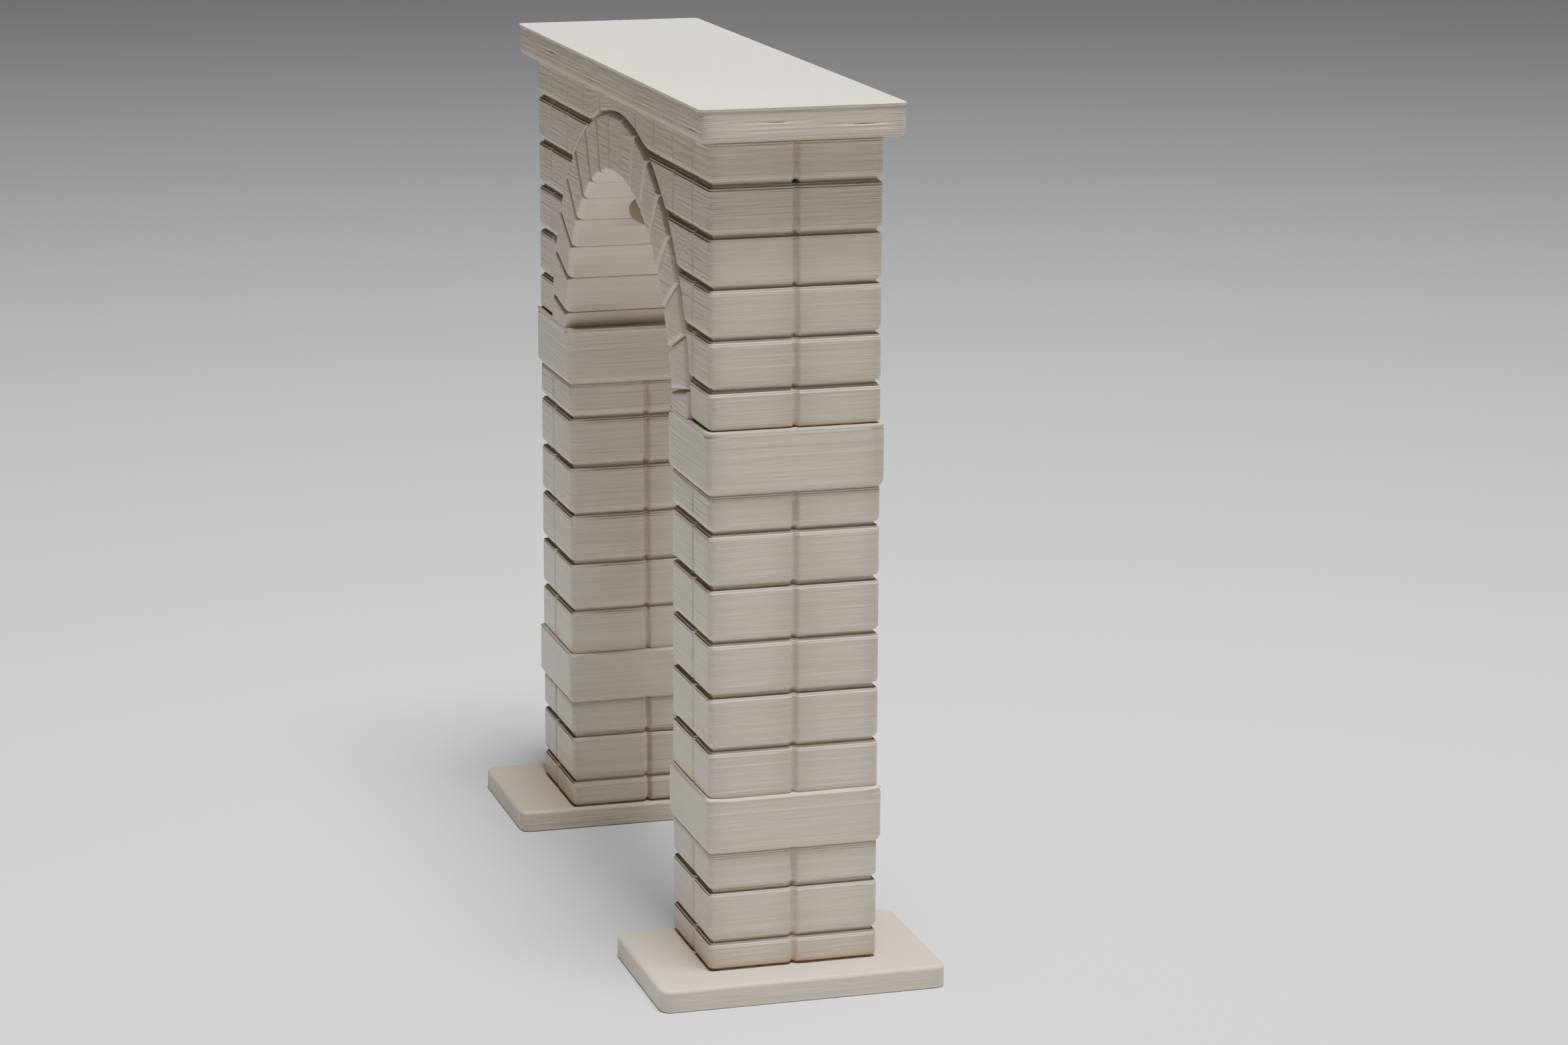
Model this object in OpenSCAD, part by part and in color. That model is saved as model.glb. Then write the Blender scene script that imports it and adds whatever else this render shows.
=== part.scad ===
// Printed model of a triumphal arch: two coursed stone piers on flat base plates,
// a ring of wedge stones over the opening, a wall above it and a flat cap.
// The width runs along X, the depth along Y, and the base plates stand on Z = 0.

/* [Stack of the pier] */
// Thickness of the flat plate under each pier
plate_t = 2.2; // [1:0.1:6]
// Height of the low footing course on the plate
footing_h = 2.9; // [1.5:0.05:8]
// Height of the course over the footing
base_course_h = 4.9; // [2:0.05:10]
// Height of the course under the lower band
plinth_course_h = 3.7; // [2:0.05:10]
// Height of the plain lower band
lower_band_h = 5.1; // [2:0.05:12]
// Height of the first shaft course over the lower band
first_shaft_h = 4.7; // [2:0.05:10]
// Height of each middle shaft course
shaft_course_h = 5.1; // [2:0.01:10]
// Height of the last shaft course under the impost band
last_shaft_h = 3.6; // [2:0.01:10]
// Height of the plain impost band
impost_h = 5.65; // [2:0.05:12]

/* [Stack of the wall] */
// Height of the wall that is left over the crown of the ring
crown_cover = 1.9; // [0.5:0.05:10]
// Part of the wall's height taken by the first course over the impost band
first_wall_share = 0.1469; // [0.08:0.001:0.2]
// Part of the wall's height taken by each middle course, the top course having the rest
wall_course_share = 0.1751; // [0.1:0.001:0.2]

/* [Piers] */
// Clear width between the two piers
opening_w = 40; // [20:0.1:80]
// Width of a pier's stone face
pier_w = 13.2; // [8:0.1:30]
// Depth of the piers and of the wall
pier_d = 16.3; // [8:0.1:30]
// Length of one block along the wall
block_l = 6.87; // [4:0.05:14]

/* [Joints] */
// Depth of the flat joint between two courses
bed_depth = 0.45; // [0.1:0.05:1]
// Half the height of the flat joint between two courses
bed_half = 0.1; // [0.05:0.01:0.4]
// Height of the sloping edge above and under a joint
edge_rise = 0.38; // [0.1:0.01:1]
// Depth of the upright joint between two blocks
notch_depth = 0.36; // [0.1:0.02:1]
// Half the width of the upright joint between two blocks
notch_half = 0.32; // [0.1:0.02:1]
// Bevel on the upright corners of the blocks
corner_cut = 0.35; // [0.1:0.05:1]
// Shortest block that is left between the ring and a joint
least_block = 1.5; // [0.5:0.1:4]

/* [Bands] */
// How far the bands stand out from the blocks
band_proud = 0.3; // [0.1:0.05:1]
// How far the slope under a band draws in
band_foot_cut = 0.35; // [0.1:0.05:1]
// Height of the slope under a band
band_foot_rise = 0.5; // [0.1:0.05:1.5]
// Depth of the thin joints under the bands and over the lower band
band_joint_depth = 0.1; // [0.02:0.01:0.5]
// Bevel along the top of a band
band_top_cut = 0.15; // [0.05:0.05:0.5]
// Bevel on the upright corners of a band
band_corner_cut = 0.4; // [0.1:0.05:1]

/* [Arch ring] */
// Radius of the arch on the inside of the ring
arch_r = 21; // [10:0.1:40]
// How far the arch centre lies under the top of the impost band
spring_drop = 2.25; // [0:0.05:5]
// Thickness of the ring of wedge stones
ring_t = 5.9; // [2:0.1:12]
// Wedge stones in the half circle, keystone included
wedge_count = 17; // [7:2:31]
// Bevel along the edges of the ring
ring_edge_cut = 0.35; // [0.1:0.05:1]
// Depth of the joints between the wedge stones
wedge_joint_depth = 0.4; // [0.1:0.02:1]
// Width of the joints between the wedge stones, on the inside of the ring
wedge_joint_w = 0.4; // [0.1:0.02:1]

/* [Socket] */
// Diameter of the round socket in the left haunch
socket_d = 6.6; // [2:0.1:10]
// Depth of the socket from the inside of the ring
socket_depth = 4.2; // [1:0.1:5]
// Angle of the socket over the arch centre
socket_angle = 48; // [30:1:75]

/* [Cap] */
// Width of the cap
cap_w = 71.2; // [50:0.1:120]
// Depth of the cap
cap_d = 19.3; // [12:0.1:40]
// Height of the cap
cap_h = 3; // [1:0.1:8]
// Radius of the cap's upright corners
cap_corner_r = 0.7; // [0.2:0.1:3]
// Bevel under the cap
cap_foot_cut = 0.4; // [0.1:0.05:1]
// Height of the thin lip round the cap's top
lip_h = 0.3; // [0.1:0.05:0.8]
// How far the lip stands out
lip_out = 0.14; // [0.05:0.01:0.4]

/* [Base plates] */
// Width of a base plate from the opening outwards
plate_w = 17.5; // [12:0.05:40]
// Depth of a base plate
plate_d = 27.5; // [16:0.1:50]
// Radius of the plate's upright corners
plate_corner_r = 1.1; // [0.3:0.1:4]
// Bevel along the top of the plate
plate_edge_cut = 0.25; // [0.05:0.05:1]

/* [Hidden] */
$fn = 96;
// How far a cutting shape runs past the face it cuts
over = bed_depth;
print_tint = [0.75, 0.71, 0.64];
half_open = opening_w / 2;
half_d = pier_d / 2;
pier_out = half_open + pier_w;
pier_mid = half_open + pier_w / 2;
// Heights of a pier's pieces, from the plate up
pier_rows = [footing_h, base_course_h, plinth_course_h, lower_band_h, first_shaft_h,
    shaft_course_h, shaft_course_h, shaft_course_h, shaft_course_h, last_shaft_h, impost_h];
// Places of the two bands among them
lower_band_row = 3;
impost_row = 10;
// Height of the first n rows together
function stacked(rows, n) = n == 0 ? 0 : rows[n - 1] + stacked(rows, n - 1);
wall_z = plate_t + stacked(pier_rows, len(pier_rows));
arch_z = wall_z - spring_drop;
ring_out = arch_r + ring_t;
cap_z = arch_z + ring_out + crown_cover;
wall_h = cap_z - wall_z;
top_share = 1 - first_wall_share - 4 * wall_course_share;
// Heights of the wall's courses, from the impost band up
wall_rows = wall_h * [first_wall_share, wall_course_share, wall_course_share,
    wall_course_share, wall_course_share, top_share];
wedge_angle = 180 / wedge_count;
joint_angle = wedge_joint_w / arch_r * 180 / PI;
key_start = 90 - wedge_angle / 2;
side_joints = (wedge_count - 1) / 2;
corner_joint = floor(pier_out / block_l) * block_l;
// Half width of the ring at a height over the arch centre
function ring_half(z) = z < ring_out ? sqrt(ring_out * ring_out - z * z) : 0;
// Places of the upright joints along the wall, from the centre line out
wall_joints = [for (x = [0 : block_l : corner_joint]) x];

// Side view of a course: a block with sloping edges and a thin neck above and under it,
// drawn in by the depth of the joint at its foot and at its head
module course_side(half, h, foot, head) {
    low = bed_half + edge_rise * foot / bed_depth;
    high = h - bed_half - edge_rise * head / bed_depth;
    polygon([
        [foot - half, 0], [half - foot, 0], [half - foot, bed_half], [half, low],
        [half, high], [half - head, h - bed_half], [half - head, h], [head - half, h],
        [head - half, h - bed_half], [-half, high], [-half, low], [foot - half, bed_half]]);
}

// Rectangle with bevelled corners, about its middle
module bevelled(half_x, half_y, cut) {
    polygon([
        [half_x, cut - half_y], [half_x, half_y - cut], [half_x - cut, half_y],
        [cut - half_x, half_y], [-half_x, half_y - cut], [-half_x, cut - half_y],
        [cut - half_x, -half_y], [half_x - cut, -half_y]]);
}

// Upright joint in plan, a notch with its point inwards along -Y
module notch() {
    polygon([[-2 * notch_half, notch_depth], [0, -notch_depth], [2 * notch_half, notch_depth]]);
}

// One course: the plan with its upright joints, trimmed to the side view along both ways
module course(half_x, h, front_joints, foot, head) {
    intersection() {
        linear_extrude(height = h) difference() {
            bevelled(half_x, half_d, corner_cut);
            for (x = front_joints) {
                translate([x, half_d]) notch();
                translate([x, -half_d]) rotate(180) notch();
            }
            translate([half_x, 0]) rotate(-90) notch();
            translate([-half_x, 0]) rotate(90) notch();
        }
        translate([0, half_d + over, 0]) rotate([90, 0, 0])
            linear_extrude(height = pier_d + 2 * over) course_side(half_x, h, foot, head);
        translate([-half_x - over, 0, 0]) rotate([90, 0, 90])
            linear_extrude(height = 2 * (half_x + over)) course_side(half_d, h, foot, head);
    }
}

// One course of the right pier, counted from the plate up
module pier_course(n) {
    foot = n == lower_band_row + 1 ? band_joint_depth : bed_depth;
    head = n + 1 == lower_band_row || n + 1 == impost_row ? band_joint_depth : bed_depth;
    color(print_tint)
        translate([pier_mid, 0, plate_t + stacked(pier_rows, n)])
            course(pier_w / 2, pier_rows[n], [corner_joint - pier_mid], foot, head);
}

// Side view of a band: a slope under it and a small bevel along its top
module band_side(half, h) {
    polygon([
        [band_foot_cut - half, 0], [half - band_foot_cut, 0], [half, band_foot_rise],
        [half, h - band_top_cut], [half - band_top_cut, h],
        [band_top_cut - half, h], [-half, h - band_top_cut], [-half, band_foot_rise]]);
}

// One plain band of the right pier, counted from the plate up
module pier_band(n) {
    h = pier_rows[n];
    half_x = pier_w / 2 + band_proud;
    half_y = half_d + band_proud;
    color(print_tint)
        translate([pier_mid, 0, plate_t + stacked(pier_rows, n)])
            intersection() {
                linear_extrude(height = h) bevelled(half_x, half_y, band_corner_cut);
                translate([0, half_y + over, 0]) rotate([90, 0, 0])
                    linear_extrude(height = 2 * (half_y + over)) band_side(half_x, h);
                translate([-half_x - over, 0, 0]) rotate([90, 0, 90])
                    linear_extrude(height = 2 * (half_x + over)) band_side(half_y, h);
            }
}

// Turns a shape about the depth and lifts it to the arch centre
module at_arch(angle) {
    translate([0, 0, arch_z]) rotate([90, 0, 0]) rotate([0, 0, angle]) children();
}

// Bevelled section of a wedge stone
module ring_section() {
    translate([arch_r + ring_t / 2, 0]) bevelled(ring_t / 2, half_d, ring_edge_cut);
}

// One wedge stone, from an angle over the arch centre
module wedge_stone(angle) {
    at_arch(angle + joint_angle / 2)
        rotate_extrude(angle = wedge_angle - joint_angle) ring_section();
}

// Core that joins the wedge stones behind their joints
module ring_core(angle, sweep) {
    at_arch(angle)
        rotate_extrude(angle = sweep)
            translate([arch_r + ring_t / 2, 0])
                square([ring_t - 2 * wedge_joint_depth, pier_d - 2 * wedge_joint_depth], center = true);
}

// Wedge stones of the right haunch, from the impost band to the keystone
module haunch() {
    difference() {
        union() {
            ring_core(0, key_start);
            for (n = [0 : side_joints - 1]) wedge_stone(n * wedge_angle);
        }
        translate([0, -half_d - over, arch_z - over])
            cube([ring_out + over, pier_d + 2 * over, wall_z - arch_z + over]);
    }
}

// Room that the ring takes out of the wall, with a bevelled rim
module ring_room() {
    at_arch(0) rotate_extrude() polygon([
        [0, -half_d - over], [ring_out + ring_edge_cut, -half_d - over],
        [ring_out + ring_edge_cut, -half_d], [ring_out, ring_edge_cut - half_d],
        [ring_out, half_d - ring_edge_cut], [ring_out + ring_edge_cut, half_d],
        [ring_out + ring_edge_cut, half_d + over], [0, half_d + over]]);
}

// One course of the wall over its whole width, counted from the impost band up
module wall_course(n) {
    z = wall_z + stacked(wall_rows, n);
    rim = ring_half(z + wall_rows[n] / 2 - arch_z);
    kept = [for (x = wall_joints) if (x > rim + least_block) x];
    difference() {
        translate([0, 0, z])
            course(pier_out, wall_rows[n], concat(kept, [for (x = kept) -x]), bed_depth, bed_depth);
        ring_room();
    }
}

// Right half of a wall course
module wall_side(n) {
    color(print_tint)
        intersection() {
            wall_course(n);
            translate([0, -half_d - over, wall_z])
                cube([pier_out + over, pier_d + 2 * over, cap_z - wall_z]);
        }
}

// Rectangle with round corners, about its middle
module rounded(w, d, r) {
    square([w - 2 * r, d], center = true);
    square([w, d - 2 * r], center = true);
    for (x = [r - w / 2, w / 2 - r])
        for (y = [r - d / 2, d / 2 - r])
            translate([x, y]) circle(r = r);
}

// Side view of a base plate with its bevelled top
module plate_side(half) {
    polygon([
        [-half, 0], [half, 0], [half, plate_t - plate_edge_cut], [half - plate_edge_cut, plate_t],
        [plate_edge_cut - half, plate_t], [-half, plate_t - plate_edge_cut]]);
}

module right_base_plate() {
    inner = half_open - band_proud;
    color(print_tint)
        translate([inner + plate_w / 2, 0, 0])
            intersection() {
                linear_extrude(height = plate_t) rounded(plate_w, plate_d, plate_corner_r);
                translate([0, plate_d / 2 + over, 0]) rotate([90, 0, 0])
                    linear_extrude(height = plate_d + 2 * over) plate_side(plate_w / 2);
                translate([-plate_w / 2 - over, 0, 0]) rotate([90, 0, 90])
                    linear_extrude(height = plate_w + 2 * over) plate_side(plate_d / 2);
            }
}

module right_footing_course() {
    pier_course(0);
}

module right_base_course() {
    pier_course(1);
}

module right_plinth_course() {
    pier_course(2);
}

module right_lower_band() {
    pier_band(lower_band_row);
}

module right_shaft_course_1() {
    pier_course(4);
}

module right_shaft_course_2() {
    pier_course(5);
}

module right_shaft_course_3() {
    pier_course(6);
}

module right_shaft_course_4() {
    pier_course(7);
}

module right_shaft_course_5() {
    pier_course(8);
}

module right_shaft_course_6() {
    pier_course(9);
}

module right_impost_band() {
    pier_band(impost_row);
}

module left_base_plate() {
    mirror([1, 0, 0]) right_base_plate();
}

module left_footing_course() {
    mirror([1, 0, 0]) right_footing_course();
}

module left_base_course() {
    mirror([1, 0, 0]) right_base_course();
}

module left_plinth_course() {
    mirror([1, 0, 0]) right_plinth_course();
}

module left_lower_band() {
    mirror([1, 0, 0]) right_lower_band();
}

module left_shaft_course_1() {
    mirror([1, 0, 0]) right_shaft_course_1();
}

module left_shaft_course_2() {
    mirror([1, 0, 0]) right_shaft_course_2();
}

module left_shaft_course_3() {
    mirror([1, 0, 0]) right_shaft_course_3();
}

module left_shaft_course_4() {
    mirror([1, 0, 0]) right_shaft_course_4();
}

module left_shaft_course_5() {
    mirror([1, 0, 0]) right_shaft_course_5();
}

module left_shaft_course_6() {
    mirror([1, 0, 0]) right_shaft_course_6();
}

module left_impost_band() {
    mirror([1, 0, 0]) right_impost_band();
}

module right_voussoirs() {
    color(print_tint) haunch();
}

// Middle stone of the ring
module keystone() {
    color(print_tint) {
        ring_core(key_start, wedge_angle);
        wedge_stone(key_start);
    }
}

// Wedge stones of the left haunch with the round socket in their underside
module left_voussoirs() {
    color(print_tint)
        difference() {
            mirror([1, 0, 0]) haunch();
            at_arch(180 - socket_angle)
                translate([arch_r - ring_t, 0, 0]) rotate([0, 90, 0])
                    cylinder(d = socket_d, h = ring_t + socket_depth);
        }
}

module right_wall_course_1() {
    wall_side(0);
}

module right_wall_course_2() {
    wall_side(1);
}

module right_wall_course_3() {
    wall_side(2);
}

module right_wall_course_4() {
    wall_side(3);
}

module right_wall_course_5() {
    wall_side(4);
}

module left_wall_course_1() {
    mirror([1, 0, 0]) wall_side(0);
}

module left_wall_course_2() {
    mirror([1, 0, 0]) wall_side(1);
}

module left_wall_course_3() {
    mirror([1, 0, 0]) wall_side(2);
}

module left_wall_course_4() {
    mirror([1, 0, 0]) wall_side(3);
}

module left_wall_course_5() {
    mirror([1, 0, 0]) wall_side(4);
}

module top_course() {
    color(print_tint) wall_course(5);
}

// Side view of the cap: a bevel under it and a thin lip round its top
module cap_side(half) {
    body = half - lip_out;
    polygon([
        [cap_foot_cut - body, 0], [body - cap_foot_cut, 0], [body, cap_foot_cut],
        [body, cap_h - lip_h], [half, cap_h - lip_h / 2], [half, cap_h],
        [-half, cap_h], [-half, cap_h - lip_h / 2], [-body, cap_h - lip_h], [-body, cap_foot_cut]]);
}

module cap_slab() {
    color(print_tint)
        translate([0, 0, cap_z])
            intersection() {
                linear_extrude(height = cap_h) rounded(cap_w, cap_d, cap_corner_r);
                translate([0, cap_d / 2 + over, 0]) rotate([90, 0, 0])
                    linear_extrude(height = cap_d + 2 * over) cap_side(cap_w / 2);
                translate([-cap_w / 2 - over, 0, 0]) rotate([90, 0, 90])
                    linear_extrude(height = cap_w + 2 * over) cap_side(cap_d / 2);
            }
}

right_base_plate();
left_base_plate();
right_footing_course();
right_base_course();
right_plinth_course();
right_lower_band();
right_shaft_course_1();
right_shaft_course_2();
right_shaft_course_3();
right_shaft_course_4();
right_shaft_course_5();
right_shaft_course_6();
right_impost_band();
left_footing_course();
left_base_course();
left_plinth_course();
left_lower_band();
left_shaft_course_1();
left_shaft_course_2();
left_shaft_course_3();
left_shaft_course_4();
left_shaft_course_5();
left_shaft_course_6();
left_impost_band();
right_voussoirs();
keystone();
left_voussoirs();
right_wall_course_1();
right_wall_course_2();
right_wall_course_3();
right_wall_course_4();
right_wall_course_5();
left_wall_course_1();
left_wall_course_2();
left_wall_course_3();
left_wall_course_4();
left_wall_course_5();
top_course();
cap_slab();
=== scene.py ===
import math
import bpy
import numpy as np
from mathutils import Matrix, Vector


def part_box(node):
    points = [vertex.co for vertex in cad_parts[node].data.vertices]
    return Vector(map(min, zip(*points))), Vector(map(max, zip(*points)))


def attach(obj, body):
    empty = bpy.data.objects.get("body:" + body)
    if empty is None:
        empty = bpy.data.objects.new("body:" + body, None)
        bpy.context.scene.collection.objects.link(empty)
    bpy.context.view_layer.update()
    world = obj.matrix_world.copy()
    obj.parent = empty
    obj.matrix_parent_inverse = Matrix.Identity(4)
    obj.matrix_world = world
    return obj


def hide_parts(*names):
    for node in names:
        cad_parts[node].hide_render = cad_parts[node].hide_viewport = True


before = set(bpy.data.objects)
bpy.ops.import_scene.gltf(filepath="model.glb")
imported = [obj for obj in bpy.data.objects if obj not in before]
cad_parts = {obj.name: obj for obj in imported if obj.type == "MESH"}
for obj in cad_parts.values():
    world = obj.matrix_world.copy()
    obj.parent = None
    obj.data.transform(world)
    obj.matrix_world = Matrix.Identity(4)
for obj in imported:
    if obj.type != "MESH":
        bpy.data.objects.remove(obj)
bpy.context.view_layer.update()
mm = 0.001

# the print: layers are counted from the cap down, because the arch was printed standing on its cap
# clear is how far a plain face stays inside its solid
printed = dict(layer=0.2, bead=0.016, cornerBead=0.055, cornerReach=1.1, wander=0.002, clear=0.02, seed=11)
# what is left of a corner's radius at the deepest inset
leastRadius = 0.02
# joints are sampled, and kept clear of, to this many times their half width
notchReach = 1.2


def boxOf(node):
    # corners of a solid in mm
    low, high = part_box(node)
    return np.array(low) / mm, np.array(high) / mm


top = boxOf("cap_slab")[1][2]
pierLow, pierHigh = boxOf("right_base_course")
bandLow, bandHigh = boxOf("right_impost_band")
halfD = pierHigh[1]
blockL = 6.87
cornerJoint = math.floor(pierHigh[0] / blockL) * blockL


def layerOf(z):
    # number of the layer a height lies in, and the height of that layer's middle
    k = np.floor((top - z) / printed["layer"] + 1e-6).astype(int)
    return k, top - (k + 0.5) * printed["layer"]


def layerRows(z0, z1):
    # three rows in each layer from z0 to z1: their heights, their layers' middles,
    # and how far the round bead falls back there
    first = int(round((top - z1) / printed["layer"]))
    last = int(round((top - z0) / printed["layer"]))
    middle = top - (np.arange(last - 1, first - 1, -1) + 0.5) * printed["layer"]
    t = np.array([-0.95, 0.0, 0.95])
    z = (middle[:, None] + 0.5 * printed["layer"] * t).ravel()
    middle, fall = np.repeat(middle, 3), np.tile(1 - np.sqrt(1 - t * t), len(middle))
    keep = (z > z0 + 0.004) & (z < z1 - 0.004)
    z, middle, fall = z[keep], middle[keep], fall[keep]
    return np.r_[z0, z, z1], np.r_[middle[0], middle, middle[-1]], np.r_[1.0, fall, 1.0]


def wander(middle, along):
    # each layer strays a little from the wall, by a slow wave along it and a step of its own
    layer = layerOf(middle)[0]
    rng = np.random.default_rng(printed["seed"])
    most = 600
    shift, phase, pitch = rng.normal(size=most), rng.uniform(0, 6.283, most), rng.uniform(0.3, 1.1, most)
    slow = np.sin(along[None, :] * pitch[layer][:, None] + phase[layer][:, None])
    wave = 0.6 * shift[layer][:, None] + slow
    return printed["wander"] * wave


def beads(fall, o):
    # the beads stand out most on the ends of the arch, beside corners and joints, where the nozzle slows down
    near = np.exp(-o[2] / printed["cornerReach"])
    amp = printed["bead"] + printed["cornerBead"] * near * np.abs(o[1][:, 0])
    return fall[:, None] * amp[None, :]


def unevenly(along, pitch, start):
    # a share from 0.2 to 1 that rises and falls along the wall as a sine
    return 0.6 + 0.4 * np.sin(along[None, :] * pitch + start)


def quarterRound(e, r):
    # 1 at the edge and 0 from r inwards, along a quarter circle
    t = np.clip(1.0 - e / r, 0.0, 1.0)
    return 1.0 - np.sqrt(1.0 - t * t)


def sideSamples(length, r, joints, half):
    # places along one side, close together at its ends and at its joints
    ends = np.array([0.0, 0.3, 0.8, 1.6])
    s = [r + ends, length - r - ends, np.linspace(r, length - r, max(3, int(length / 1.5)))]
    s += [j + half * np.linspace(-notchReach, notchReach, 13) for j in joints]
    s = np.unique(np.round(np.concatenate(s), 3))
    return s[(s >= r) & (s <= length - r)]


def outline(x0, x1, y0, y1, r, joints, depth, half):
    # rectangle with round corners, counter-clockwise, with a raised-cosine notch at each joint
    # joints holds the places on the front, right, back and left side, in X or Y
    # gives the points, their normals, the distance to the next corner or joint, and the way along the outline
    sides = [((x0, y0), (1, 0), x1 - x0, [j - x0 for j in joints[0]]),
             ((x1, y0), (0, 1), y1 - y0, [j - y0 for j in joints[1]]),
             ((x1, y1), (-1, 0), x1 - x0, [x1 - j for j in joints[2]]),
             ((x0, y1), (0, -1), y1 - y0, [y1 - j for j in joints[3]])]
    points, normals, corner, along, start = [], [], [], [], 0.0
    for (sx, sy), (dx, dy), length, at in sides:
        s = sideSamples(length, r, at, half)
        n = np.array([dy, -dx], float)
        cut = np.zeros_like(s)
        for j in at:
            cut = cut + depth * 0.5 * (1 + np.cos(np.pi * np.clip((s - j) / half, -1, 1)))
        points.append(np.array([sx, sy]) + s[:, None] * np.array([dx, dy]) - cut[:, None] * n)
        normals.append(np.repeat(n[None], len(s), 0))
        near = np.minimum(s - r, length - r - s)
        for j in at:
            near = np.minimum(near, np.maximum(np.abs(s - j) - half, 0))
        corner.append(near)
        along.append(start + s)
        start += length
        a = math.atan2(n[1], n[0]) + np.linspace(0, math.pi / 2, 7)[1:-1]
        c = np.array([sx + dx * (length - r) - n[0] * r, sy + dy * (length - r) - n[1] * r])
        ring = np.stack([np.cos(a), np.sin(a)], -1)
        points.append(c + r * ring)
        normals.append(ring)
        corner.append(np.zeros(len(a)))
        along.append(np.full(len(a), start))
    return tuple(np.concatenate(part) for part in (points, normals, corner, along))


def tube(rings):
    # vertices and faces of a closed tube: rows of rings going up, with a flat face at each end
    rows, cols = rings.shape[:2]
    i = np.arange(rows * cols).reshape(rows, cols)
    a, d = i[:-1], i[1:]
    quads = np.stack([a, np.roll(a, -1, 1), np.roll(d, -1, 1), d], -1).reshape(-1, 4)
    return rings.reshape(-1, 3), quads.tolist(), [i[0][::-1].tolist(), i[-1].tolist()]


def toMesh(name, parts, material, node, topMaterial=None):
    # one object from tubes given in mm; the flat ends stay flat and the walls are smooth
    verts, faces, flat, base = [], [], [], 0
    for v, quads, caps in parts:
        verts.append(v)
        faces += [[k + base for k in f] for f in quads + caps]
        flat += [False] * len(quads) + [True] * len(caps)
        base += len(v)
    mesh = bpy.data.meshes.new(name)
    mesh.from_pydata((np.concatenate(verts) * mm).tolist(), [], faces)
    mesh.polygons.foreach_set("use_smooth", np.logical_not(flat))
    mesh.materials.append(material)
    if topMaterial:
        mesh.materials.append(topMaterial)
        mesh.polygons[len(faces) - 1].material_index = 1
    obj = bpy.data.objects.new(name, mesh)
    bpy.context.scene.collection.objects.link(obj)
    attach(obj, "root")
    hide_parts(node)
    return obj


def mirrored(part):
    # the same piece on the other side of the arch, with its faces turned to look outwards again
    v, quads, caps = part
    return v * np.array([-1.0, 1.0, 1.0]), [f[::-1] for f in quads], [f[::-1] for f in caps]


def camel(node):
    # the name of the piece that replaces a node
    head, *rest = node.split("_")
    return head + "".join(w.capitalize() for w in rest)


print("materials")


def plastic(name, look):
    # plastic on object coordinates: slow mottling, a shade of its own for each layer, fine grain
    m = bpy.data.materials.new(name)
    m.use_nodes = True
    n, l = m.node_tree.nodes, m.node_tree.links
    shader = n["Principled BSDF"]
    place = n.new("ShaderNodeTexCoord").outputs["Object"]
    def noise(scale, detail):
        t = n.new("ShaderNodeTexNoise")
        t.inputs["Scale"].default_value = scale
        t.inputs["Detail"].default_value = detail
        l.new(place, t.inputs["Vector"])
        return t.outputs["Fac"]
    def maths(kind, a, b):
        t = n.new("ShaderNodeMath")
        t.operation = kind
        for k, v in enumerate((a, b)):
            if isinstance(v, (int, float)):
                t.inputs[k].default_value = v
            else:
                l.new(v, t.inputs[k])
        return t.outputs[0]
    split = n.new("ShaderNodeSeparateXYZ")
    l.new(place, split.inputs[0])
    under = maths("SUBTRACT", top * mm, split.outputs["Z"])
    layer = maths("FLOOR", maths("DIVIDE", under, printed["layer"] * mm), 0)
    white = n.new("ShaderNodeTexWhiteNoise")
    white.noise_dimensions = "1D"
    l.new(layer, white.inputs["W"])
    own = maths("MULTIPLY", white.outputs["Value"], look["layerShade"])
    shade = maths("ADD", maths("MULTIPLY", noise(look["mottle"], 3), 0.7), own)
    ramp = n.new("ShaderNodeValToRGB")
    ramp.color_ramp.elements[0].position = 0.2
    ramp.color_ramp.elements[0].color = look["dark"]
    ramp.color_ramp.elements[1].position = 0.75
    ramp.color_ramp.elements[1].color = look["pale"]
    l.new(shade, ramp.inputs["Fac"])
    l.new(ramp.outputs["Color"], shader.inputs["Base Color"])
    patchy = maths("MULTIPLY", noise(look["mottle"] * 9, 2), 0.12)
    l.new(maths("ADD", look["rough"] - 0.06, patchy), shader.inputs["Roughness"])
    bump = n.new("ShaderNodeBump")
    bump.inputs["Strength"].default_value = look["grain"]
    bump.inputs["Distance"].default_value = look["grainHeight"] * mm
    l.new(noise(look["grainScale"], 3), bump.inputs["Height"])
    l.new(bump.outputs["Normal"], shader.inputs["Normal"])
    shader.inputs["Specular IOR Level"].default_value = look["specular"]
    return m


wallLook = dict(dark=(0.44, 0.37, 0.285, 1), pale=(0.55, 0.475, 0.375, 1), mottle=55, layerShade=0.25,
                rough=0.44, specular=0.42, grain=0.25, grainHeight=0.02, grainScale=5200)
# the cap's top, the face printed on the bed: its coarser grain and gloss are its own, while its paler colour
# is painted light on the top
bedFaceLookWithTopLight = dict(dark=(0.50, 0.435, 0.36, 1), pale=(0.58, 0.515, 0.435, 1), mottle=80, layerShade=0.0,
               rough=0.40, specular=0.5, grain=0.8, grainHeight=0.06, grainScale=3600)
wallMat = plastic("filament", wallLook)
bedFaceMatWithTopLight = plastic("bedFaceWithPaintedTopLight", bedFaceLookWithTopLight)

print("pier courses")
courseLook = dict(bedDepth=0.5, bandDepth=0.08, bedHalf=0.2, footEdge=0.42, headEdge=0.5, corner=0.56,
                  notchDepth=0.42, notchHalf=0.46, sag=0.03, sagBelow=0.3, sagWidth=0.12, sagPitch=1.3)


def lofted(outlined, z, inset):
    # the plan outline drawn in along its normals by the inset of every row and column
    p, n = outlined[:2]
    xy = p[None] - n[None] * inset[..., None]
    return tube(np.concatenate([xy, np.broadcast_to(z[:, None, None], xy.shape[:2] + (1,))], -1))


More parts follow.
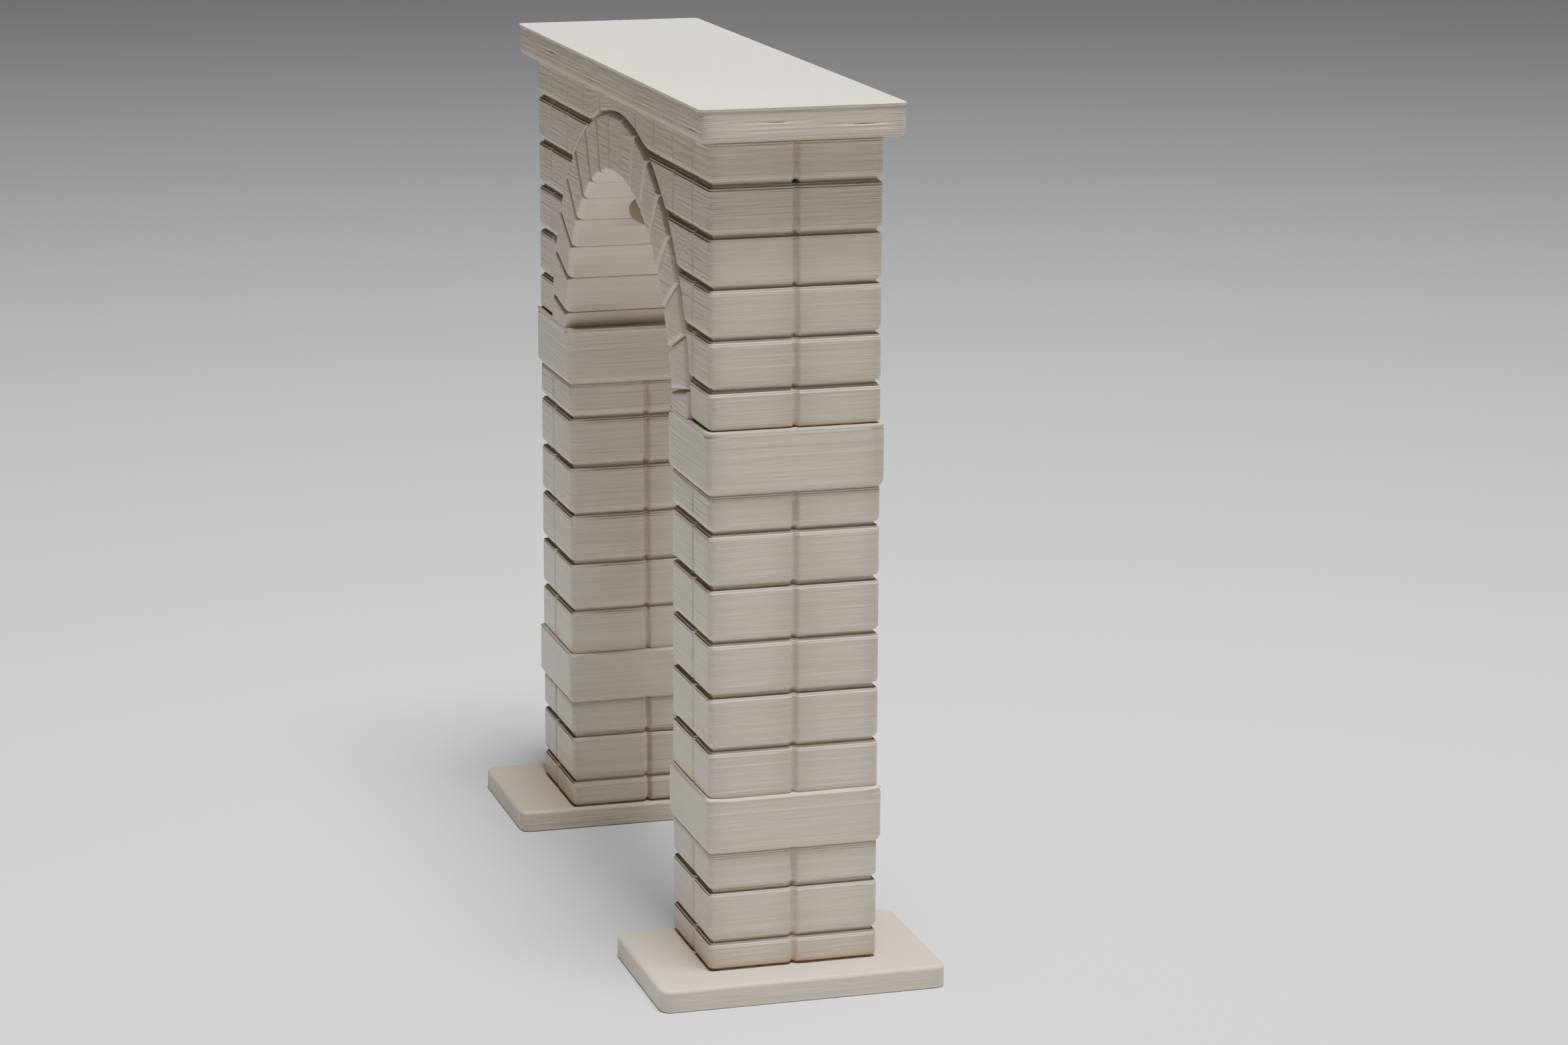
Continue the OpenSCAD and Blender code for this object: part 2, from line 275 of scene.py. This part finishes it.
def courseRings(x0, x1, z0, z1, joints, look, foot, head):
    # a course: quarter-round edges at foot and head, beads, and a sagging line along the top of the face
    o = outline(x0, x1, -halfD, halfD, look["corner"], joints, look["notchDepth"], look["notchHalf"])
    z, middle, fall = layerRows(z0, z1)
    low = foot * quarterRound(middle - z0 - look["bedHalf"], look["footEdge"])
    high = head * quarterRound(z1 - middle - look["bedHalf"], look["headEdge"])
    draw = np.maximum(low, high)
    face = 1.0 - draw / look["bedDepth"]
    below = (z1 - middle - look["bedHalf"] - look["sagBelow"]) / look["sagWidth"]
    sag = look["sag"] * np.exp(-below ** 2) * (head == look["bedDepth"])
    inset = draw[:, None] + beads(fall, o) + face[:, None] * (wander(middle, o[3]) + printed["clear"])
    inset = inset - sag[:, None] * unevenly(o[3], look["sagPitch"], z0)
    return lofted(o, z, np.clip(inset, 0.0, look["corner"] - leastRadius))


bandLook = dict(corner=0.6, footCut=0.3, footRise=0.5, topEdge=0.16, looseReach=0.9,
                lift=0.12, liftBelow=0.36, liftRise=0.1, slit=0.16, slitBelow=0.34, slitWidth=0.05,
                droop=0.04, droopBelow=0.25, droopWidth=0.12, droopPitch=0.9)
plain = [[], [], [], []]


def bandRings(low, high, look):
    # a plain block with a slope under it; its top line droops, and lifts off at the corners over a slit
    o = outline(low[0], high[0], low[1], high[1], look["corner"], plain, 0.0, 0.4)
    z0, z1 = low[2], high[2]
    z, middle, fall = layerRows(z0, z1)
    slope = look["footCut"] * np.clip(1 - (middle - z0) / look["footRise"], 0, 1)
    edge = look["topEdge"] * quarterRound(z1 - middle, look["topEdge"] * 1.4)
    loose = np.exp(-(o[2] / look["looseReach"]) ** 2) * (o[1][:, 0] > -0.5)
    slit = look["slit"] * np.exp(-((z1 - look["slitBelow"] - z) / look["slitWidth"]) ** 2)
    droop = look["droop"] * np.exp(-((z1 - middle - look["droopBelow"]) / look["droopWidth"]) ** 2)
    inset = (slope + edge)[:, None] + beads(fall, o) + wander(middle, o[3]) + printed["clear"]
    inset = inset + slit[:, None] * loose[None, :] - droop[:, None] * unevenly(o[3], look["droopPitch"], z0)
    v, quads, caps = lofted(o, z, np.clip(inset, 0.0, look["corner"] - leastRadius))
    rise = np.clip((z - z1 + look["liftBelow"]) / look["liftRise"], 0, 1)
    raised = look["lift"] * rise[:, None] * loose[None, :]
    v[:, 2] += raised.ravel()
    return v, quads, caps


pierNames = ["footing_course", "base_course", "plinth_course", "lower_band"]
pierNames += ["shaft_course_%d" % k for k in range(1, 7)] + ["impost_band"]
pierJoints = [[cornerJoint], [0], [cornerJoint], [0]]
for name in pierNames:
    low, high = boxOf("right_" + name)
    if name.endswith("band"):
        part = bandRings(low, high, bandLook)
    else:
        foot = courseLook["bandDepth" if name == "shaft_course_1" else "bedDepth"]
        head = courseLook["bandDepth" if name in ("plinth_course", "shaft_course_6") else "bedDepth"]
        part = courseRings(low[0], high[0], low[2], high[2], pierJoints, courseLook, foot, head)
    toMesh(camel("right_" + name), [part], wallMat, "right_" + name)
    toMesh(camel("left_" + name), [mirrored(part)], wallMat, "left_" + name)

print("wall courses")
ringLook = dict(radius=21.0, thick=5.9, drop=2.25, stones=17, edge=0.4, gap=0.06, proud=0.28, split=0.02)
wallZ = bandHigh[2]
archZ = wallZ - ringLook["drop"]
ringOut = ringLook["radius"] + ringLook["thick"]
# a joint keeps this far from the ring, and a course without joints keeps its end this long
leastBlock = 1.5
endBlock = 1.2


def besideRing(v, look):
    # front and back fall away along a quarter circle where they come near the ring
    away = np.clip(np.hypot(v[:, 0], v[:, 2] - archZ) - ringOut, 0, None)
    least = halfD - look["bedDepth"] * quarterRound(away, look["headEdge"])
    v[:, 1] = np.clip(v[:, 1], -least, least)
    return v


def wallRings(x1, z0, z1, joints, look):
    # a course whose inner end follows the outside of the ring at every height
    bed = look["bedDepth"]
    v, quads, caps = courseRings(0.0, x1, z0, z1, [joints, [0], joints, []], look, bed, bed)
    rim = np.sqrt(np.clip(ringOut ** 2 - (v[:, 2] - archZ) ** 2, 0, None))
    fixed = min(joints + [x1 - endBlock]) - look["notchHalf"] * notchReach
    drawn = rim + (fixed - rim) * np.clip(v[:, 0] / fixed, 0, 1)
    v[:, 0] = np.where(v[:, 0] < fixed, drawn, v[:, 0])
    return besideRing(v, look), quads, caps


for k in range(1, 6):
    low, high = boxOf("right_wall_course_%d" % k)
    rim = math.sqrt(ringOut ** 2 - ((low[2] + high[2]) / 2 - archZ) ** 2)
    joints = [j * blockL for j in range(1, 5) if j * blockL > rim + leastBlock]
    part = wallRings(high[0], low[2], high[2], joints, courseLook)
    toMesh("rightWallCourse%d" % k, [part], wallMat, "right_wall_course_%d" % k)
    toMesh("leftWallCourse%d" % k, [mirrored(part)], wallMat, "left_wall_course_%d" % k)

# the top course bridges the ring: its heights are pressed together over the ring's crown
low, high = boxOf("top_course")
joints = [s * j * blockL for j in range(1, 5) for s in (-1, 1)]
sides = [joints, [0], joints, [0]]
bed = courseLook["bedDepth"]
v, quads, caps = courseRings(low[0], high[0], low[2], high[2], sides, courseLook, bed, bed)
crown = np.maximum(low[2], archZ + np.sqrt(np.clip(ringOut ** 2 - v[:, 0] ** 2, 0, None)))
v[:, 2] = crown + (v[:, 2] - low[2]) * (high[2] - crown) / (high[2] - low[2])
# its arched underside is a strip from front to back, with a flat face at each end
around = outline(low[0], high[0], -halfD, halfD, courseLook["corner"], sides,
                 courseLook["notchDepth"], courseLook["notchHalf"])
facing = around[1][:, 1]
front, back = np.flatnonzero(facing < -0.999), np.flatnonzero(facing > 0.999)[::-1]
strip = np.stack([back[:-1], back[1:], front[1:], front[:-1]], -1).tolist()
rightEnd = np.arange(front[-1], back[-1] + 1)[::-1].tolist()
leftEnd = np.r_[np.arange(back[0], len(facing)), front[0]][::-1].tolist()
part = besideRing(v, courseLook), quads, strip + [rightEnd, leftEnd, caps[1]]
toMesh("topCourse", [part], wallMat, "top_course")

print("arch ring")
# places across a stone from 0 to 1, and across the middle stone from -1 to 1, closer together near the edges
stoneColumns = np.array([0, 0.015, 0.035, 0.06, 0.1, 0.16, 0.25, 0.4,
                         0.6, 0.75, 0.84, 0.9, 0.94, 0.965, 0.985, 1.0])
keyColumns = np.array([-1, -0.97, -0.93, -0.88, -0.8, -0.68, -0.5, -0.2,
                       0.2, 0.5, 0.68, 0.8, 0.88, 0.93, 0.97, 1])


def sliced(z, middle, fall, x, d, look):
    # level slices of a stone from their X places: front and back fall away along a quarter circle
    # near the stone's edges
    face = quarterRound(np.clip(d - look["gap"], 0, None), look["edge"])
    stray = wander(middle, x.mean(0)) + printed["clear"]
    y = halfD + look["proud"] - (look["edge"] + look["proud"]) * face
    y = y - printed["bead"] * fall[:, None] - (1 - face) * stray
    z = np.broadcast_to(z[:, None], x.shape)
    return tube(np.concatenate([np.stack([x, -y, z], -1), np.stack([x, y, z], -1)[:, ::-1]], 1))


def wedgeRings(k, look):
    # one wedge stone of the right haunch: each slice runs between the ring's two arcs and the two joints
    w = math.pi / look["stones"]
    t0, t1 = k * w, (k + 1) * w
    r0, r1 = look["radius"], ringOut
    g = look["split"]
    bottom = max(archZ + r0 * math.sin(t0) + g * math.cos(t0), wallZ) + g
    z, middle, fall = layerRows(bottom, archZ + r1 * math.sin(t1) - g * math.cos(t1) - g)
    h = z - archZ
    left = np.maximum(np.sqrt(np.clip(r0 * r0 - h * h, 0, None)), (h * math.cos(t1) + g) / math.sin(t1))
    right = np.sqrt(np.clip(r1 * r1 - h * h, 0, None))
    if k:
        right = np.minimum(right, (h * math.cos(t0) - g) / math.sin(t0))
    right = np.maximum(right, left + 0.001)
    x = left[:, None] + (right - left)[:, None] * stoneColumns[None]
    hh = h[:, None]
    rho = np.hypot(x, hh)
    d = np.minimum(np.minimum(rho - r0, r1 - rho), x * math.sin(t1) - hh * math.cos(t1))
    if k:
        d = np.minimum(d, hh * math.cos(t0) - x * math.sin(t0))
    x = x + (1 - stoneColumns)[None] ** 40 * printed["bead"] * fall[:, None]
    return sliced(z, middle, fall, x, d, look)


def keyRings(look):
    # the middle stone: level slices between two mirrored joints
    w = math.pi / look["stones"] / 2
    r0, r1 = look["radius"], ringOut
    z, middle, fall = layerRows(archZ + r0 * math.cos(w) + 0.03, archZ + r1 - 0.002)
    h = z - archZ
    arc = np.sqrt(np.clip(r1 * r1 - h * h, 0, None))
    half = np.minimum(h * math.tan(w) - look["split"] / math.cos(w), arc)
    x = half[:, None] * keyColumns[None]
    hh = h[:, None]
    rho = np.hypot(x, hh)
    d = np.minimum(np.minimum(rho - r0 + 0.02, r1 - rho), hh * math.sin(w) - np.abs(x) * math.cos(w))
    return sliced(z, middle, fall, x, d, look)


haunch = [wedgeRings(k, ringLook) for k in range((ringLook["stones"] - 1) // 2)]
toMesh("rightVoussoirs", haunch, wallMat, "right_voussoirs")
toMesh("keyStone", [keyRings(ringLook)], wallMat, "keystone")

# the socket in the left haunch is cut with a round plug, one stone at a time
socketLook = dict(angle=132.0, across=6.6, depth=4.2, before=3.0)
a = math.radians(socketLook["angle"])
t = np.linspace(0, 2 * np.pi, 65)[:-1]
ring = np.stack([np.sin(t), np.cos(t)], -1) * socketLook["across"] / 2
reach = ringLook["radius"] + np.array([-socketLook["before"], socketLook["depth"]])
out, up = np.array([math.cos(a), 0, math.sin(a)]), np.array([-math.sin(a), 0, math.cos(a)])
deep = np.array([0.0, 1.0, 0.0])
plugRings = np.array([0, 0, archZ]) + reach[:, None, None] * out
plugRings = plugRings + ring[None, :, :1] * up + ring[None, :, 1:] * deep


def looseObject(name, part):
    # an object in mm, for cutting only
    v, quads, caps = part
    mesh = bpy.data.meshes.new(name)
    mesh.from_pydata(v.tolist(), [], quads + caps)
    mesh.polygons.foreach_set("use_smooth", [True] * len(quads) + [False] * len(caps))
    o = bpy.data.objects.new(name, mesh)
    bpy.context.scene.collection.objects.link(o)
    return o


def lessPlug(part, plug):
    # a stone, in triangles, less the plug: its own faces stay smooth, those of the bore are flat
    v, quads, caps = part
    q = np.array(quads)
    triangles = np.concatenate([q[:, [0, 1, 2]], q[:, [0, 2, 3]]]).tolist()
    stone = looseObject("stone", (v, triangles, caps))
    cut = stone.modifiers.new("socket", "BOOLEAN")
    cut.object = plug
    cut.operation = "DIFFERENCE"
    cut.solver = "EXACT"
    bpy.context.view_layer.update()
    done = bpy.data.meshes.new_from_object(stone.evaluated_get(bpy.context.evaluated_depsgraph_get()))
    v = np.empty(len(done.vertices) * 3)
    done.vertices.foreach_get("co", v)
    smooth = [list(f.vertices) for f in done.polygons if f.use_smooth]
    flat = [list(f.vertices) for f in done.polygons if not f.use_smooth]
    bpy.data.objects.remove(stone)
    return v.reshape(-1, 3), smooth, flat


v, quads, caps = tube(plugRings)
plug = looseObject("plug", (v, [], quads + caps))
toMesh("leftVoussoirs", [lessPlug(mirrored(p), plug) for p in haunch], wallMat, "left_voussoirs")
bpy.data.objects.remove(plug)

print("plates and cap")
plateLook = dict(corner=1.1, edge=0.4, foot=0.12, beadShare=0.6, most=0.9)
low, high = boxOf("right_base_plate")
o = outline(low[0], high[0], low[1], high[1], plateLook["corner"], plain, 0.0, 0.4)
z, middle, fall = layerRows(low[2], high[2])
edge = plateLook["edge"] * quarterRound(high[2] - z, plateLook["edge"])
edge = edge + plateLook["foot"] * quarterRound(z, plateLook["foot"])
inset = edge[:, None] + plateLook["beadShare"] * beads(fall, o) + wander(middle, o[3]) + printed["clear"]
part = lofted(o, z, np.clip(inset, 0, plateLook["most"]))
toMesh("rightBasePlate", [part], wallMat, "right_base_plate")
toMesh("leftBasePlate", [mirrored(part)], wallMat, "left_base_plate")

capLook = dict(corner=0.7, foot=0.4, lip=0.14, lipHeight=0.3, most=0.68, topInset=0.03,
               gaps=14, gapDepth=0.09, gapSeed=4)
low, high = boxOf("cap_slab")
o = outline(low[0], high[0], low[1], high[1], capLook["corner"], plain, 0.0, 0.4)
z, middle, fall = layerRows(low[2], high[2])
edge = capLook["foot"] * quarterRound(middle - low[2], capLook["foot"])
edge = edge + capLook["lip"] * np.clip((high[2] - middle) / capLook["lipHeight"], 0, 1)
inset = edge[:, None] + beads(fall, o) + wander(middle, o[3])
# short gaps in single layers, where the plastic ran thin
rng = np.random.default_rng(capLook["gapSeed"])
count = capLook["gaps"]
places = rng.uniform(0, o[3].max(), count)
layers = rng.integers(4, 11, count)
lengths = rng.uniform(0.4, 1.2, count)
for gapAt, gapLayer, gapLong in zip(places, layers, lengths):
    inLayer = layerOf(middle)[0] == gapLayer
    inset += capLook["gapDepth"] * inLayer[:, None] * np.exp(-((o[3] - gapAt) / gapLong) ** 2)[None, :]
inset[-1] = capLook["topInset"]
part = lofted(o, z, np.clip(inset, 0, capLook["most"]))
# the top face gets the bed-face material, made paler with painted light
toMesh("capSlab", [part], wallMat, "cap_slab", topMaterial=bedFaceMatWithTopLight)

print("stage")
floorMesh = bpy.data.meshes.new("floor")
floorMesh.from_pydata([(-3, -3, 0), (3, -3, 0), (3, 3, 0), (-3, 3, 0)], [], [(0, 1, 2, 3)])
floor = bpy.data.objects.new("floor", floorMesh)
floorMat = bpy.data.materials.new("paleFloor")
floorMat.use_nodes = True
floorShader = floorMat.node_tree.nodes["Principled BSDF"]
floorShader.inputs["Base Color"].default_value = (0.50, 0.51, 0.52, 1)
floorShader.inputs["Roughness"].default_value = 0.9
floorMesh.materials.append(floorMat)
bpy.context.scene.collection.objects.link(floor)

world = bpy.data.worlds.new("studio")
world.use_nodes = True
world.node_tree.nodes["Background"].inputs["Color"].default_value = (0.80, 0.82, 0.85, 1)
world.node_tree.nodes["Background"].inputs["Strength"].default_value = 0.03
bpy.context.scene.world = world


def softbox(name, spot, aim, across, power):
    # a square lamp at a spot in metres, facing another
    lamp = bpy.data.lights.new(name, "AREA")
    lamp.size = across
    lamp.energy = power
    o = bpy.data.objects.new(name, lamp)
    turn = (Vector(aim) - Vector(spot)).to_track_quat("-Z", "Y").to_matrix().to_4x4()
    o.matrix_world = Matrix.Translation(spot) @ turn
    bpy.context.scene.collection.objects.link(o)


softbox("roomBox", (0.0, 0.3, 2.2), (0, 0, 0), 2.5, 14.0)
softbox("topBox", (0.07, 0.02, 0.42), (0, 0, 0.06), 0.13, 5.6)
softbox("endBox", (0.60, 0.40, 0.30), (0, 0, 0.05), 0.25, 0.30)

# the camera stands close to where the photo was taken from; the small shift keeps the photo's framing
view = dict(spot=(379.5, -104.31, 129.88), azimuth=74.374, elevation=13.176,
            focal=94.0, shiftX=0.043, shiftY=-0.005)
az, el = math.radians(view["azimuth"]), math.radians(view["elevation"])
backward = Vector((math.sin(az) * math.cos(el), -math.cos(az) * math.cos(el), math.sin(el)))
right = (-backward).cross(Vector((0, 0, 1))).normalized()
upward = right.cross(-backward)
camData = bpy.data.cameras.new("camera")
camData.sensor_width = 36
camData.lens = view["focal"]
camData.shift_x = view["shiftX"]
camData.shift_y = view["shiftY"]
camData.clip_start = 0.01
camera = bpy.data.objects.new("camera", camData)
turn = Matrix((right, upward, backward)).transposed().to_4x4()
camera.matrix_world = Matrix.Translation(Vector(view["spot"]) * mm) @ turn
bpy.context.scene.collection.objects.link(camera)
bpy.context.scene.camera = camera
